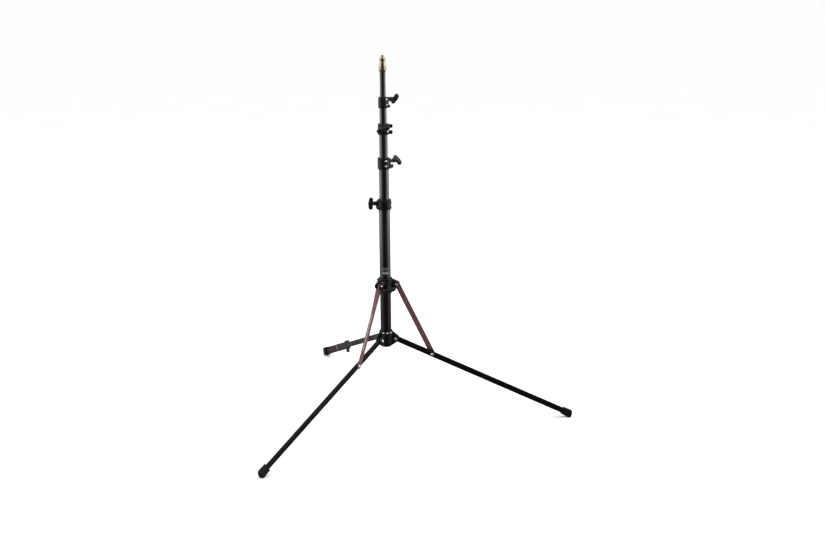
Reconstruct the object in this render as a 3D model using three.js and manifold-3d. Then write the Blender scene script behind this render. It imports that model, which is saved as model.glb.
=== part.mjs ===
// Compact reverse-folding lighting stand: a five-section telescoping column on three
// braced legs, one of them a levelling leg. Millimetres, +Z up, standing on z = 0.
import * as THREE from 'three';
import { mergeVertices } from 'three/addons/utils/BufferGeometryUtils.js';
import Module from 'manifold-3d';

const wasm = await Module();
wasm.setup();

// ---------------------------------------------------------------- driving dimensions
const GAP = 0.3;                     // clearance between touching pieces
const ROUND_SIDES = 24;              // facets of the column's round pieces
const PIN_SIDES = 12;                // facets of pins, screws and their holes

// Column, heights above the floor on its axis
const TUBE_RADII = [15, 13, 11, 9.25, 7.5];      // base tube, then risers 1 to 4
const TUBE_WALL = 1.2;
const BASE_TUBE_BOTTOM = 201;
const RISER_4_TOP = 956.5;
const SHOULDER_TOP = 970.7;
const SPIGOT_TOP = 998.9;
const NESTED_BOTTOM = 214;           // lower end of riser 1 when the column is closed
const NEST_STEP = 16;                // each inner riser stops this much higher
const SPIGOT_RADIUS = 8;             // 16 mm (5/8 inch) stud

// Clamp collars: what each one holds, its height, and how its knob is turned
const COLLARS = [
  {
    bottom: 588, top: 615.8, wall: 3.4, azimuth: 167.5, rivet: -85, lugs: [],
    knob: { share: 0.62, tilt: 68, out: -3 },
  },
  {
    bottom: 698.3, top: 729.4, wall: 3.2, azimuth: 7.5, rivet: -100,
    knob: { share: 0.66, tilt: 28, out: 5 },
    lugs: [{ turn: -12, share: 0.22, reach: 10 }],
  },
  {
    bottom: 791.1, top: 820.4, wall: 3.3, azimuth: -112.5, rivet: 52,
    knob: { share: 0.62, tilt: 20, out: 0 },
    lugs: [{ turn: 85, share: 0.22, reach: 10 }, { turn: 85, share: 0.78, reach: 10 }],
  },
  {
    bottom: 861, top: 890.5, wall: 3, azimuth: 7.5, rivet: -66, lugs: [],
    knob: { share: 0.76, tilt: 140, out: 3 },
  },
];
const COLLAR_SEAT = 8;               // a collar's top stands this far above its tube's end
const LIP_HEIGHT = 2.2;
const LUG_RADIUS = 5;               // round clamp lugs that stand out from two collars

// T-shaped clamp knob, along its own axis from the collar's wall
const BOSS_LENGTH = 5.5;
const BOSS_RADIUS = 6;
const KNOB_BAR_AT = 16;              // inner face of the bar beyond the collar's wall
const KNOB_BAR_DEPTH = 11.5;
const KNOB_BAR_HALF = 18;
const KNOB_BAR_SWEEP = 0.8;          // how far the bar's middle bulges outwards
const KNOB_BAR_THICK = 10;
const KNOB_STEM_RADIUS = 5.3;
const KNOB_THREAD = 8;               // how deep the screw sits in the knob
const SCREW_RADIUS = 2.5;

// Lower hub and slider
const HUB_BOTTOM = 199;
const HUB_TOP = 242.2;
const HUB_WALL = 4.0;
const HUB_PLUG_BOTTOM = 195;
const HUB_SCREW = { azimuth: -102.5, height: 238.6 };
const SLIDER_BOTTOM = 353.4;
const SLIDER_TOP = 395.2;
const SLIDER_WALL = 3.4;
const SLIDER_BUSH_WALL = 1.2;
const SLIDER_KNOB = { azimuth: -98, tilt: 8, out: 1.6 };
const SLIDER_KNOB_HEIGHT = 371;

// Legs and braces; radial distances are measured from the column's axis
const LEG_AZIMUTHS = { right: 330, levelling: 90, left: 210 };
const LEG_PIVOT = new THREE.Vector2(28, 219);
const LEG_END = new THREE.Vector2(520, 8.7);
const LEG_HEIGHT = 16;
const LEG_THICK = 8;
const LEG_CORNER = 3.6;              // radius of the tube's long edges
const LEG_WALL = 1.3;
const BRACE_TOP = new THREE.Vector2(31.5, 377.3);
const BRACE_ON_LEG = 111;            // along the leg from its pivot
const BRACE_HALF_WIDTH = 7.4;
const BRACE_INNER_FACE = 4.5;        // the brace runs beside the leg, clear of its face
const BRACE_THICK = 2.6;
const CHEEK_INNER_FACE = 4.4;
const CHEEK_THICK = 3.8;
const LEG_PIN_HEAD = 4.4;
const LEG_RIVET_HEAD = 4.2;
const BRACE_PIN_HEAD = 4.2;
const PIN_RADIUS = 3;
const RIVET_RADIUS = 2.5;

// Rubber boots
const BOOT_BACK = 27;                // how far a boot reaches up the leg from its end
const BOOT_NOSE = 3;
const BOOT_HALF_THICK = 5.8;

// Levelling leg: a slim inner leg with a sleeve that slides out along it
// The sleeve is thick on its free side only, because the brace folds against the other.
const INNER_LEG = { halfHeight: 7.9, halfThick: 2.9, corner: 2.2 };
const SLEEVE = { halfHeight: 11.2, braceFace: 4.2, freeFace: -6.4, corner: 2, start: 324.3 };
const SLEEVE_BORE = { halfHeight: 8.2, halfThick: 3.2 };
const SLEEVE_END_GAP = 12;           // the sleeve stops this far before the leg's end
const CLAMP_START = 305;
const LEVEL_KNOB_AT = 314;
const LEVEL_KNOB = { top: 12.8, bottom: 22.5, radius: 5 };   // below the leg's middle line
const LEVEL_FOOT_HALF_THICK = 7.6;

// ---------------------------------------------------------------- worked-out dimensions
const legRun = LEG_END.clone().sub(LEG_PIVOT);
const LEG_LENGTH = legRun.length();
const LEG_TILT = Math.atan2(-legRun.y, legRun.x);
const braceFoot = new THREE.Vector2(
  LEG_PIVOT.x + BRACE_ON_LEG * Math.cos(LEG_TILT),
  LEG_PIVOT.y - BRACE_ON_LEG * Math.sin(LEG_TILT),
);
const braceRun = braceFoot.clone().sub(BRACE_TOP);
const BRACE_LENGTH = braceRun.length();
const BRACE_TILT = Math.atan2(-braceRun.y, braceRun.x);
const BRACE_OUTER_FACE = BRACE_INNER_FACE + BRACE_THICK;
const LUG_INNER_FACE = BRACE_OUTER_FACE + GAP;
const LUG_OUTER_FACE = LUG_INNER_FACE + CHEEK_THICK;
const CHEEK_OUTER_FACE = CHEEK_INNER_FACE + CHEEK_THICK;
const deg = THREE.MathUtils.degToRad;

// ---------------------------------------------------------------- materials
const metal = (color, roughness, metalness = 0.9) =>
  new THREE.MeshStandardMaterial({ color, roughness, metalness });
const plastic = (color, roughness) =>
  new THREE.MeshStandardMaterial({ color, roughness, metalness: 0 });
const blackAnodised = metal(0x1b191a, 0.35);
const blackCasting = metal(0x202020, 0.5, 0.3);
const redAnodised = metal(0x5a2f37, 0.4);
const chrome = metal(0xd8d8d8, 0.12, 1);
const brass = metal(0xb59a68, 0.25, 1);
const darkSteel = metal(0x55565a, 0.35, 1);
const blackPlastic = plastic(0x191a1b, 0.55);
const blackRubber = plastic(0x141414, 0.85);

// ---------------------------------------------------------------- solids
// A closed geometry as a solid; its faces are turned outwards first.
function solid(geometry) {
  geometry.deleteAttribute('normal');
  geometry.deleteAttribute('uv');
  const merged = mergeVertices(geometry);
  const vertProperties = new Float32Array(merged.attributes.position.array);
  const triVerts = new Uint32Array(merged.index.array);
  if (signedVolume(vertProperties, triVerts) < 0) {
    for (let i = 0; i < triVerts.length; i += 3) {
      [triVerts[i], triVerts[i + 1]] = [triVerts[i + 1], triVerts[i]];
    }
  }
  return new wasm.Manifold(new wasm.Mesh({ numProp: 3, vertProperties, triVerts }));
}

function signedVolume(points, triangles) {
  const [a, b, c] = [new THREE.Vector3(), new THREE.Vector3(), new THREE.Vector3()];
  let volume = 0;
  for (let i = 0; i < triangles.length; i += 3) {
    a.fromArray(points, 3 * triangles[i]);
    b.fromArray(points, 3 * triangles[i + 1]);
    c.fromArray(points, 3 * triangles[i + 2]);
    volume += a.dot(b.cross(c)) / 6;
  }
  return volume;
}

function geometryOf(shape) {
  const mesh = shape.getMesh();
  const geometry = new THREE.BufferGeometry();
  geometry.setAttribute('position', new THREE.BufferAttribute(mesh.vertProperties, 3));
  geometry.setIndex(new THREE.BufferAttribute(mesh.triVerts, 1));
  return geometry;
}

// Turned piece about the Z axis from [radius, height] pairs that close on themselves.
function turned(profile, sides = ROUND_SIDES) {
  const points = [...profile, profile[0]].map(([r, z]) => new THREE.Vector2(r, z));
  return solid(new THREE.LatheGeometry(points, sides).rotateX(Math.PI / 2));
}

function ring(outer, inner, bottom, top, sides = ROUND_SIDES) {
  return turned([[inner, bottom], [outer, bottom], [outer, top], [inner, top]], sides);
}

// Round bars along X, Y or Z
function rod(radius, from, to, sides = PIN_SIDES) {
  const bar = new THREE.CylinderGeometry(radius, radius, to - from, sides);
  return solid(bar.rotateX(Math.PI / 2).translate(0, 0, (from + to) / 2));
}

function rodX(radius, from, to, y, z, sides = PIN_SIDES) {
  return rod(radius, from, to, sides).rotate([0, 90, 0]).translate([0, y, z]);
}

function rodY(radius, from, to, x, z, sides = PIN_SIDES) {
  return rod(radius, from, to, sides).rotate([-90, 0, 0]).translate([x, 0, z]);
}

function block(x0, x1, y0, y1, z0, z1) {
  const box = new THREE.BoxGeometry(x1 - x0, y1 - y0, z1 - z0);
  return solid(box.translate((x0 + x1) / 2, (y0 + y1) / 2, (z0 + z1) / 2));
}

// Flat plate: an outline in the XZ plane between two Y faces.
function plate(outline, y0, y1, curveSegments = 6) {
  const shape = new THREE.ExtrudeGeometry(outline, {
    depth: y1 - y0, bevelEnabled: false, curveSegments,
  });
  return solid(shape.rotateX(Math.PI / 2).translate(0, y1, 0));
}

// Dome-headed screw that points into a round wall of radius `wall`, and its hole.
function domeScrew(wall, height, azimuth) {
  const profile = [
    [0, wall - 1.6], [1.5, wall - 1.6], [1.5, wall + GAP], [3.2, wall + GAP],
    [3.0, wall + 1.3], [1.6, wall + 2.1], [0, wall + 2.3],
  ];
  return turned(profile, PIN_SIDES).rotate([0, 90, 0]).translate([0, 0, height])
    .rotate([0, 0, azimuth]);
}

function domeScrewHole(wall, height, azimuth) {
  return rodX(1.9, wall - 2, wall + 2, 0, height).rotate([0, 0, azimuth]);
}

// ---------------------------------------------------------------- placing
const stand = new THREE.Group();

function add(name, shape, material, parent = stand) {
  const mesh = new THREE.Mesh(geometryOf(shape), material);
  mesh.name = name;
  parent.add(mesh);
}

function group(parent, { azimuth = 0, x = 0, z = 0, tilt = 0 }) {
  const holder = new THREE.Group();
  holder.rotation.set(0, tilt, deg(azimuth), 'ZYX');
  holder.position.set(x, 0, z);
  parent.add(holder);
  return holder;
}

// ---------------------------------------------------------------- clamp knob
// Everything below is about the X axis at height `height`: the boss and its screw hole on
// a collar's wall, then the screw, then the T-shaped knob with its swept-back wings.
function knobBoss(wallRadius, height) {
  return rodX(BOSS_RADIUS, 0, wallRadius + BOSS_LENGTH, 0, height);
}

function knobHole(boreRadius, wallRadius, height) {
  return rodX(SCREW_RADIUS + 0.4, boreRadius - 1, wallRadius + 2 * BOSS_LENGTH, 0, height);
}

function addKnob(prefix, parent, { tipAt, wallRadius, height, tilt, out }) {
  const stemStart = wallRadius + BOSS_LENGTH + GAP + Math.max(out, 0);
  const barStart = wallRadius + KNOB_BAR_AT + out;
  const half = KNOB_BAR_HALF;
  const sweep = KNOB_BAR_SWEEP;
  const depth = KNOB_BAR_DEPTH;
  const round = depth / 2;
  const inner = barStart - sweep;
  const outline = new THREE.Shape();
  outline.absarc(inner + round, round - half, round, deg(180), deg(360), false);
  outline.quadraticCurveTo(barStart + depth + sweep, 0, inner + depth, half - round);
  outline.absarc(inner + round, half - round, round, 0, deg(180), false);
  outline.quadraticCurveTo(barStart + sweep, 0, inner, round - half);
  const thick = KNOB_BAR_THICK;
  const bar = plate(outline, -thick / 2, thick / 2, 4).rotate([tilt - 90, 0, 0]);
  const stem = rodX(KNOB_STEM_RADIUS, stemStart, barStart + depth / 2, 0, 0);
  const screwEnd = stemStart + KNOB_THREAD;
  const socket = rodX(SCREW_RADIUS + 0.4, stemStart - 1, screwEnd + GAP, 0, 0);
  const knob = bar.add(stem).subtract(socket).translate([0, 0, height]);
  add(`${prefix}_knob`, knob, blackPlastic, parent);
  const screw = rodX(SCREW_RADIUS, tipAt, screwEnd, 0, height);
  add(`${prefix}_knob_screw`, screw, darkSteel, parent);
}

// ---------------------------------------------------------------- column
function addColumn() {
  const tubeTops = COLLARS.map((collar) => collar.top - COLLAR_SEAT);
  tubeTops.push(RISER_4_TOP);
  const base = ring(TUBE_RADII[0], TUBE_RADII[0] - TUBE_WALL, BASE_TUBE_BOTTOM, tubeTops[0]);
  add('base_tube', base, blackAnodised);

  // Each riser's lower end at rest: its nested place plus all the travel below it.
  let bottom = NESTED_BOTTOM;
  for (let k = 1; k <= 4; k += 1) {
    const above = k < 4 ? COLLARS[k].bottom : RISER_4_TOP;
    bottom += above - COLLARS[k - 1].top + (k > 1 ? NEST_STEP : 0);
    const radius = TUBE_RADII[k];
    const bore = radius - TUBE_WALL;
    add(`riser_${k}_tube`, ring(radius, bore, bottom, tubeTops[k]), blackAnodised);

    const flange = TUBE_RADII[k - 1] - TUBE_WALL - GAP;
    const guide = turned([
      [bore - GAP - 1.1, bottom - 4], [flange, bottom - 4], [flange, bottom - GAP],
      [bore - GAP, bottom - GAP], [bore - GAP, bottom + 10], [bore - GAP - 1.1, bottom + 10],
    ]);
    add(`riser_${k}_guide`, guide, blackPlastic);
  }
}

// ---------------------------------------------------------------- collars
function addCollar(number, collar) {
  const tubeRadius = TUBE_RADII[number - 1];
  const riserRadius = TUBE_RADII[number];
  const bore = tubeRadius + GAP;
  const lipBore = riserRadius + 0.5;
  const outer = bore + collar.wall;
  const { bottom, top, azimuth } = collar;
  const { share: knobShare, tilt, out } = collar.knob;
  const seat = top - LIP_HEIGHT;
  const knobHeight = bottom + knobShare * (top - bottom);
  const earHeight = bottom + 5.5;
  const holder = group(stand, { azimuth });

  const shell = turned([
    [2, bottom], [outer - 0.9, bottom], [outer, bottom + 1.4], [outer, top - 1.8],
    [outer - 1.5, top], [2, top],
  ]);
  const clampBlock = block(0, outer + 2.2, -6.6, 6.6, bottom + 1.5, top - 3);
  const ear = rodY(4.4, -9.5, 9.5, outer - 0.6, earHeight);
  const cavity = rod(bore, bottom - 1, seat, ROUND_SIDES);
  const lip = rod(lipBore, bottom - 1, top + 1, ROUND_SIDES);
  const slot = block(tubeRadius - 2, outer + 12, -1, 1, bottom - 1, knobHeight - BOSS_RADIUS - 0.5);
  const rivetHeight = bottom + 0.3 * (top - bottom);
  let casting = shell.add(clampBlock).add(knobBoss(outer, knobHeight)).add(ear);
  for (const { turn, share, reach } of collar.lugs) {
    const lug = rodX(LUG_RADIUS, 0, outer + reach, 0, bottom + share * (top - bottom));
    casting = casting.add(lug.rotate([0, 0, turn]));
  }
  const body = casting
    .subtract(cavity).subtract(lip).subtract(slot)
    .subtract(domeScrewHole(outer, rivetHeight, collar.rivet))
    .subtract(knobHole(bore, outer, knobHeight));
  add(`collar_${number}`, body, blackCasting, holder);

  const bush = ring(bore - GAP, riserRadius + GAP, top - COLLAR_SEAT + GAP, seat - GAP);
  add(`collar_${number}_bush`, bush, blackPlastic, holder);

  addKnob(`collar_${number}`, holder, {
    tipAt: bore + 0.6, wallRadius: outer, height: knobHeight, tilt, out,
  });

  add(`collar_${number}_rivet`, domeScrew(outer, rivetHeight, collar.rivet), chrome, holder);
}

// ---------------------------------------------------------------- spigot
function addSpigot() {
  const bore = TUBE_RADII[4] - TUBE_WALL - GAP;
  const shoulder = turned([
    [0, RISER_4_TOP - 18], [bore, RISER_4_TOP - 18], [bore, RISER_4_TOP + GAP],
    [8.6, RISER_4_TOP + GAP], [9.8, RISER_4_TOP + 4], [9.9, SHOULDER_TOP - 3],
    [9.4, SHOULDER_TOP], [2.8, SHOULDER_TOP], [2.8, SHOULDER_TOP - 9], [0, SHOULDER_TOP - 9],
  ]);
  add('spigot_shoulder', shoulder, brass);

  const start = SHOULDER_TOP + GAP;
  const threadStart = SPIGOT_TOP - 6;
  const spigot = turned([
    [0, start - 8], [2.4, start - 8], [2.4, start], [SPIGOT_RADIUS, start],
    [SPIGOT_RADIUS, start + 6.5], [6.9, start + 8.5], [6.9, start + 13.5],
    [SPIGOT_RADIUS, start + 15.5], [SPIGOT_RADIUS, threadStart - 1.4],
    [6.6, threadStart], [3.2, threadStart], [3.2, SPIGOT_TOP - 0.6], [2.6, SPIGOT_TOP],
    [0, SPIGOT_TOP],
  ]);
  add('spigot', spigot, brass);
}

// ---------------------------------------------------------------- lower hub
function addHub() {
  const bore = TUBE_RADII[0] + GAP;
  const outer = bore + HUB_WALL;
  let body = turned([
    [2, HUB_BOTTOM], [outer - 1.5, HUB_BOTTOM], [outer, HUB_BOTTOM + 3], [outer, HUB_TOP - 2],
    [outer - 1.4, HUB_TOP], [2, HUB_TOP],
  ]);
  const cheek = new THREE.Shape();
  cheek.moveTo(12, HUB_BOTTOM + 3);
  cheek.lineTo(20, HUB_BOTTOM + 3);
  cheek.absarc(LEG_PIVOT.x, LEG_PIVOT.y, 9.2, deg(-75), deg(70), false);
  cheek.lineTo(20, HUB_TOP - 5);
  cheek.lineTo(12, HUB_TOP - 5);
  for (const azimuth of Object.values(LEG_AZIMUTHS)) {
    const faces = [[CHEEK_INNER_FACE, CHEEK_OUTER_FACE], [-CHEEK_OUTER_FACE, -CHEEK_INNER_FACE]];
    for (const [y0, y1] of faces) {
      body = body.add(plate(cheek, y0, y1).rotate([0, 0, azimuth]));
    }
  }
  body = body.subtract(rod(bore, HUB_BOTTOM - 1, HUB_TOP + 1, ROUND_SIDES));
  const reach = CHEEK_OUTER_FACE + 1;
  for (const azimuth of Object.values(LEG_AZIMUTHS)) {
    const hole = rodY(PIN_RADIUS + 0.4, -reach, reach, LEG_PIVOT.x, LEG_PIVOT.y);
    body = body.subtract(hole.rotate([0, 0, azimuth]));
  }
  body = body.subtract(domeScrewHole(outer, HUB_SCREW.height, HUB_SCREW.azimuth));
  add('lower_hub', body, blackCasting);
  add('hub_screw', domeScrew(outer, HUB_SCREW.height, HUB_SCREW.azimuth), chrome);

  const inside = TUBE_RADII[0] - TUBE_WALL - GAP;
  const plug = turned([
    [0, HUB_PLUG_BOTTOM], [9, HUB_PLUG_BOTTOM], [14.5, HUB_BOTTOM - 2.2],
    [16.5, HUB_BOTTOM - GAP], [inside, HUB_BOTTOM - GAP], [inside, HUB_BOTTOM + 11],
    [inside - 1.5, HUB_BOTTOM + 11], [inside - 1.5, HUB_BOTTOM + 2], [0, HUB_BOTTOM + 2],
  ]);
  add('hub_plug', plug, blackPlastic);
}

// ---------------------------------------------------------------- slider
function addSlider() {
  const tube = TUBE_RADII[0];
  const bushOuter = tube + GAP + SLIDER_BUSH_WALL;
  const bore = bushOuter + GAP;
  const outer = bore + SLIDER_WALL;
  const holder = group(stand, { azimuth: SLIDER_KNOB.azimuth });
  let body = turned([
    [2, SLIDER_BOTTOM], [outer - 1.2, SLIDER_BOTTOM], [outer, SLIDER_BOTTOM + 2],
    [outer, SLIDER_TOP - 2.5], [outer - 2, SLIDER_TOP], [2, SLIDER_TOP],
  ]);
  const lug = new THREE.Shape();
  lug.moveTo(8, BRACE_TOP.y - 14);
  lug.lineTo(22, BRACE_TOP.y - 14);
  lug.absarc(BRACE_TOP.x, BRACE_TOP.y, 7.5, deg(-60), deg(80), false);
  lug.lineTo(20, BRACE_TOP.y + 13);
  lug.lineTo(8, BRACE_TOP.y + 13);
  for (const azimuth of Object.values(LEG_AZIMUTHS)) {
    const arm = plate(lug, LUG_INNER_FACE, LUG_OUTER_FACE);
    const hole = rodY(RIVET_RADIUS + 0.4, 0, LUG_OUTER_FACE + 1, BRACE_TOP.x, BRACE_TOP.y);
    const knuckleEnd = azimuth === LEG_AZIMUTHS.levelling ? 26.5 : 32.5;
    const knuckle = block(0, knuckleEnd, -7.5, 3.4, BRACE_TOP.y - 12, BRACE_TOP.y + 11);
    let bracket = arm.subtract(hole).add(knuckle);
    if (azimuth !== LEG_AZIMUTHS.levelling) {
      bracket = bracket.add(plate(lug, -CHEEK_OUTER_FACE, -CHEEK_INNER_FACE));
    }
    body = body.add(bracket.rotate([0, 0, azimuth - SLIDER_KNOB.azimuth]));
  }
  const clampBlock = block(0, outer + 2.5, -7, 7, SLIDER_BOTTOM + 2, SLIDER_BOTTOM + 28);
  body = body.add(clampBlock).add(knobBoss(outer, SLIDER_KNOB_HEIGHT))
    .subtract(rod(bore, SLIDER_BOTTOM - 1, SLIDER_TOP + 1, ROUND_SIDES))
    .subtract(knobHole(bore, outer, SLIDER_KNOB_HEIGHT));
  add('slider_collar', body, blackCasting, holder);

  add('slider_bush', ring(bushOuter, tube + GAP, SLIDER_BOTTOM + 0.5, SLIDER_TOP - 0.5),
    blackPlastic, holder);
  addKnob('slider', holder, {
    tipAt: bushOuter + 0.6, wallRadius: outer, height: SLIDER_KNOB_HEIGHT,
    tilt: SLIDER_KNOB.tilt, out: SLIDER_KNOB.out,
  });
}

// ---------------------------------------------------------------- legs
// Side view of a bar with a round end about its first pivot.
function barOutline(halfHeight, length, roundFarEnd) {
  const outline = new THREE.Shape();
  outline.absarc(0, 0, halfHeight, deg(90), deg(270), false);
  if (roundFarEnd) {
    outline.absarc(length, 0, halfHeight, deg(-90), deg(90), false);
  } else {
    outline.lineTo(length, -halfHeight);
    outline.lineTo(length, halfHeight);
  }
  return outline;
}

// Bar along X whose four long edges are rounded.
function softBar(halfHeight, halfThick, corner, from, to) {
  const y = halfThick - corner;
  const z = halfHeight - corner;
  const section = new THREE.Shape();
  section.absarc(y, z, corner, 0, deg(90), false);
  section.absarc(-y, z, corner, deg(90), deg(180), false);
  section.absarc(-y, -z, corner, deg(180), deg(270), false);
  section.absarc(y, -z, corner, deg(270), deg(360), false);
  const bar = new THREE.ExtrudeGeometry(section, {
    depth: to - from, bevelEnabled: false, curveSegments: 2,
  });
  return solid(bar).rotate([90, 0, 90]).translate([from, 0, 0]);
}

function legTube({ halfHeight, halfThick, corner }, length, wall) {
  const reach = halfHeight + 1;
  return plate(barOutline(halfHeight, length, false), -halfThick, halfThick)
    .intersect(softBar(halfHeight, halfThick, corner, -reach, length + 1))
    .subtract(softBar(halfHeight - wall, halfThick - wall, corner - wall, 18, length + 1))
    .subtract(rodY(PIN_RADIUS + 0.4, -reach, reach, 0, 0))
    .subtract(rodY(RIVET_RADIUS + 0.4, -reach, reach, BRACE_ON_LEG, 0));
}

// Headed pin along Y between two faces; a head is a low dome outside its face.
function rivet(radius, headRadius, from, to, domes) {
  const [lowDome, highDome] = domes;
  const profile = [[0, from - lowDome]];
  if (lowDome > 0) {
    profile.push([0.6 * headRadius, from - lowDome], [headRadius, from - 0.4 * lowDome]);
    profile.push([headRadius, from]);
  }
  profile.push([radius, from], [radius, to]);
  if (highDome > 0) {
    profile.push([headRadius, to], [headRadius, to + 0.4 * highDome]);
    profile.push([0.6 * headRadius, to + highDome]);
  }
  profile.push([0, to + highDome]);
  return turned(profile, PIN_SIDES).rotate([-90, 0, 0]);
}

function addBoot(name, leg, floor) {
  const profile = new THREE.Shape();
  profile.moveTo(LEG_LENGTH - BOOT_BACK, -9.3);
  profile.lineTo(LEG_LENGTH + BOOT_NOSE - 1.5, -10.6);
  profile.lineTo(LEG_LENGTH + BOOT_NOSE, -9.4);
  profile.lineTo(LEG_LENGTH + BOOT_NOSE, 5);
  profile.lineTo(LEG_LENGTH + BOOT_NOSE - 2, 8.3);
  profile.lineTo(LEG_LENGTH + BOOT_NOSE - 7, 9.8);
  profile.lineTo(LEG_LENGTH - BOOT_BACK, 9.3);
  const socket = block(
    LEG_LENGTH - BOOT_BACK - 1, LEG_LENGTH - 5.7,
    -LEG_THICK / 2 - GAP, LEG_THICK / 2 + GAP, -LEG_HEIGHT / 2 - GAP, LEG_HEIGHT / 2 + GAP,
  );
  const boot = plate(profile, -BOOT_HALF_THICK, BOOT_HALF_THICK).subtract(socket);
  add(name, boot.subtract(floor), blackRubber, leg);
}

// The space under the floor, in a leg's own tilted frame.
function floorUnderLeg() {
  return block(-700, 700, -50, 50, -200, 0)
    .translate([-LEG_PIVOT.x, 0, -LEG_PIVOT.y])
    .rotate([0, -THREE.MathUtils.radToDeg(LEG_TILT), 0]);
}

function addBracedLeg(side, azimuth) {
  const spoke = group(stand, { azimuth });
  const leg = group(spoke, { x: LEG_PIVOT.x, z: LEG_PIVOT.y, tilt: LEG_TILT });
  const levelling = side === 'levelling';
  const outerLeg = { halfHeight: LEG_HEIGHT / 2, halfThick: LEG_THICK / 2, corner: LEG_CORNER };
  const section = levelling ? INNER_LEG : outerLeg;
  const { halfThick } = section;
  const length = LEG_LENGTH - (levelling ? 24 : 6);
  add(`${side}_leg`, legTube(section, length, LEG_WALL), blackAnodised, leg);

  const pinFace = CHEEK_OUTER_FACE + GAP;
  const hubPin = rivet(PIN_RADIUS, LEG_PIN_HEAD, -pinFace, pinFace, [2, 2]);
  add(`${side}_leg_pin`, hubPin.translate([LEG_PIVOT.x, 0, LEG_PIVOT.y]), chrome, spoke);

  const legRivet = rivet(RIVET_RADIUS, LEG_RIVET_HEAD, -halfThick - GAP, halfThick, [2, 0]);
  add(`${side}_leg_rivet`, legRivet.translate([BRACE_ON_LEG, 0, 0]), chrome, leg);

  const brace = group(spoke, { x: BRACE_TOP.x, z: BRACE_TOP.y, tilt: BRACE_TILT });
  const strap = barOutline(BRACE_HALF_WIDTH, BRACE_LENGTH, true);
  const bar = plate(strap, BRACE_INNER_FACE, BRACE_OUTER_FACE)
    .subtract(rodY(RIVET_RADIUS + 0.4, 0, BRACE_OUTER_FACE + 1, 0, 0));
  add(`${side}_brace`, bar, redAnodised, brace);

  const pinEnd = LUG_OUTER_FACE + GAP;
  const topPin = rivet(RIVET_RADIUS, BRACE_PIN_HEAD, BRACE_INNER_FACE, pinEnd, [0, 2]);
  add(`${side}_brace_pin`, topPin.translate([BRACE_TOP.x, 0, BRACE_TOP.y]), chrome, spoke);

  const floor = floorUnderLeg();
  if (levelling) {
    addLevellingSleeve(leg, floor);
  } else {
    addBoot(`${side}_foot`, leg, floor);
  }
}

function addLevellingSleeve(leg, floor) {
  const { halfHeight, braceFace, freeFace, corner, start } = SLEEVE;
  const end = LEG_LENGTH - SLEEVE_END_GAP;
  const bore = SLEEVE_BORE;
  const cavity = block(
    CLAMP_START - 1, end + 1, -bore.halfThick, bore.halfThick, -bore.halfHeight, bore.halfHeight,
  );
  const sleeve = softBar(halfHeight, (braceFace - freeFace) / 2, corner, start, end)
    .translate([0, (braceFace + freeFace) / 2, 0]);
  add('levelling_sleeve', sleeve.subtract(cavity), blackAnodised, leg);

  // The clamp closes the sleeve's mouth on the inner leg.
  const clampEnd = start - GAP;
  const clampOutline = new THREE.Shape();
  clampOutline.moveTo(CLAMP_START, -10.5);
  clampOutline.lineTo(CLAMP_START + 2, -LEVEL_KNOB.top + GAP);
  clampOutline.lineTo(clampEnd, -LEVEL_KNOB.top + GAP);
  clampOutline.lineTo(clampEnd, 12);
  clampOutline.lineTo(LEVEL_KNOB_AT + 5, 14.5);
  clampOutline.lineTo(LEVEL_KNOB_AT - 3, 14.5);
  clampOutline.lineTo(CLAMP_START, 11);
  const hole = rod(SCREW_RADIUS + 0.4, -20, 0).translate([LEVEL_KNOB_AT, 0, 0]);
  const clamp = plate(clampOutline, freeFace - 0.8, braceFace).subtract(cavity).subtract(hole);
  add('levelling_clamp', clamp, blackCasting, leg);

  // Barrel knob under the clamp, with the screw that presses on the inner leg
  const { top, bottom, radius } = LEVEL_KNOB;
  const screwEnd = top + 6;
  const barrel = turned([
    [SCREW_RADIUS + 0.4, -top], [radius - 0.8, -top], [radius, -top - 1],
    [radius, 1.2 - bottom], [radius - 1.2, -bottom], [0, -bottom],
    [0, -screwEnd - GAP], [SCREW_RADIUS + 0.4, -screwEnd - GAP],
  ], PIN_SIDES);
  add('levelling_knob', barrel.translate([LEVEL_KNOB_AT, 0, 0]), blackPlastic, leg);
  const screw = rod(SCREW_RADIUS, -screwEnd, -bore.halfHeight - 0.4);
  add('levelling_knob_screw', screw.translate([LEVEL_KNOB_AT, 0, 0]), darkSteel, leg);

  const profile = new THREE.Shape();
  profile.moveTo(LEG_LENGTH - BOOT_BACK, -12.4);
  profile.lineTo(LEG_LENGTH + BOOT_NOSE - 1, -13);
  profile.lineTo(LEG_LENGTH + BOOT_NOSE, -12);
  profile.lineTo(LEG_LENGTH + BOOT_NOSE, 8);
  profile.lineTo(LEG_LENGTH + BOOT_NOSE - 2, 11.6);
  profile.lineTo(LEG_LENGTH + BOOT_NOSE - 7, 13);
  profile.lineTo(LEG_LENGTH - BOOT_BACK, 12.6);
  const socket = block(
    LEG_LENGTH - BOOT_BACK - 1, end + GAP,
    freeFace - GAP, braceFace + GAP, -halfHeight - GAP, halfHeight + GAP,
  );
  const half = LEVEL_FOOT_HALF_THICK;
  const foot = plate(profile, -half, half).subtract(socket).subtract(floor);
  add('levelling_foot', foot, blackRubber, leg);
}

// ---------------------------------------------------------------- the whole stand
addColumn();
COLLARS.forEach((collar, index) => addCollar(index + 1, collar));
addSpigot();
addHub();
addSlider();
for (const [side, azimuth] of Object.entries(LEG_AZIMUTHS)) {
  addBracedLeg(side, azimuth);
}

// The origin is on the floor under the middle of the stand's box.
const part = new THREE.Group();
part.add(stand);
stand.updateMatrixWorld(true);
const box = new THREE.Box3().setFromObject(stand, true);
const middle = box.getCenter(new THREE.Vector3());
stand.position.set(-middle.x, -middle.y, -box.min.z);

export default part;
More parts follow.
